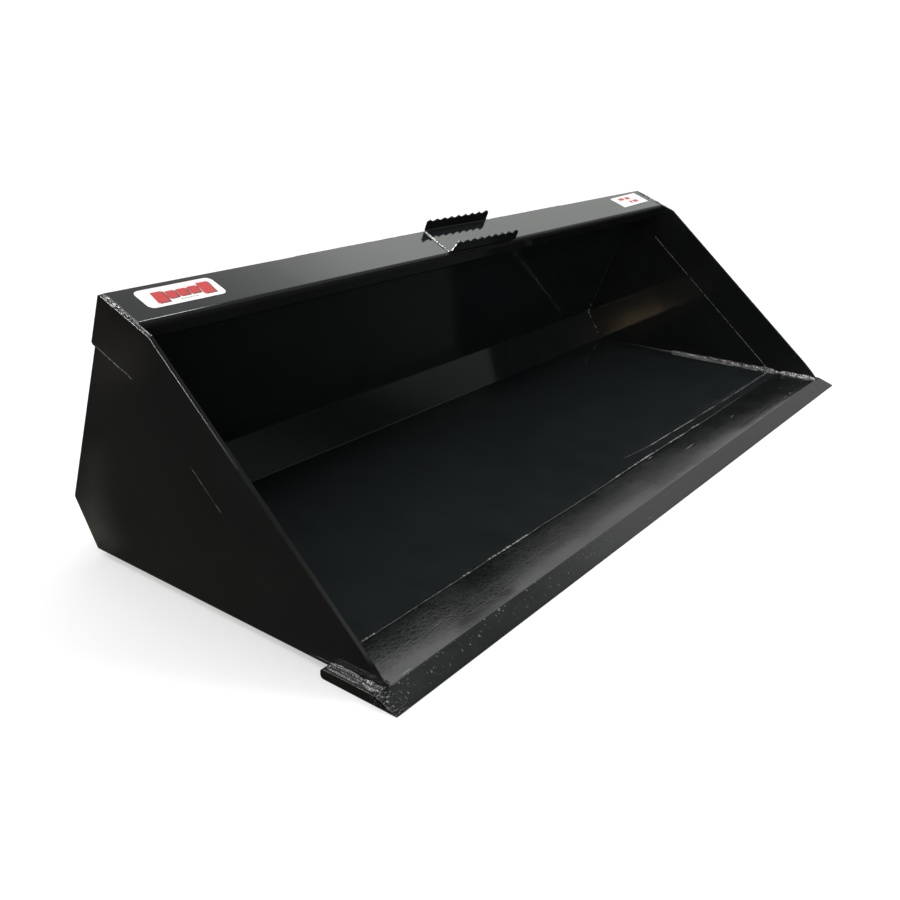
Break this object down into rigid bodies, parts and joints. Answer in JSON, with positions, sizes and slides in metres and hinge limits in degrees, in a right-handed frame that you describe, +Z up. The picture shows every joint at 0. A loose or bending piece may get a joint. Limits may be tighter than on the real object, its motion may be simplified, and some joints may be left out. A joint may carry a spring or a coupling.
{
  "type": "skid steer bucket",
  "caption": "Wide low-profile loader bucket of welded black steel plate with a flat cutting edge, top beam, serrated boarding step and a quick-attach receiver on its leaning back.",
  "frame": {"origin": "on the ground plane, under the middle of the bounding box", "axes": "+X along the cutting edge, +Y from the cutting edge to the back, +Z up"},
  "size_m": [2.176, 0.9888, 0.597],
  "materials": {
    "black_gloss_steel": "gloss black paint",
    "black_edge_steel": "gloss black paint over mill scale",
    "white_vinyl": "printed vinyl label"
  },
  "bodies": {
    "root": {"shell": "black_gloss_steel", "top_beam": "black_gloss_steel", "beam_rear_bar": "black_gloss_steel", "side_sheet_left": "black_gloss_steel", "side_sheet_right": "black_gloss_steel", "side_cutter_left": "black_gloss_steel", "side_cutter_right": "black_gloss_steel", "cutting_edge": "black_edge_steel", "step_tread": "black_gloss_steel", "label_left": "white_vinyl", "label_right": "white_vinyl", "mount_plate": "black_gloss_steel", "mount_upper_hook": "black_gloss_steel", "mount_lower_lip": "black_gloss_steel", "mount_ear_left": "black_gloss_steel", "mount_ear_right": "black_gloss_steel", "lip_gusset_1": "black_gloss_steel", "lip_gusset_2": "black_gloss_steel", "lip_gusset_3": "black_gloss_steel", "lip_gusset_4": "black_gloss_steel", "wear_strip_1": "black_edge_steel", "wear_strip_2": "black_edge_steel", "wear_strip_3": "black_edge_steel", "wear_strip_4": "black_edge_steel"}
  },
  "joints": []
}
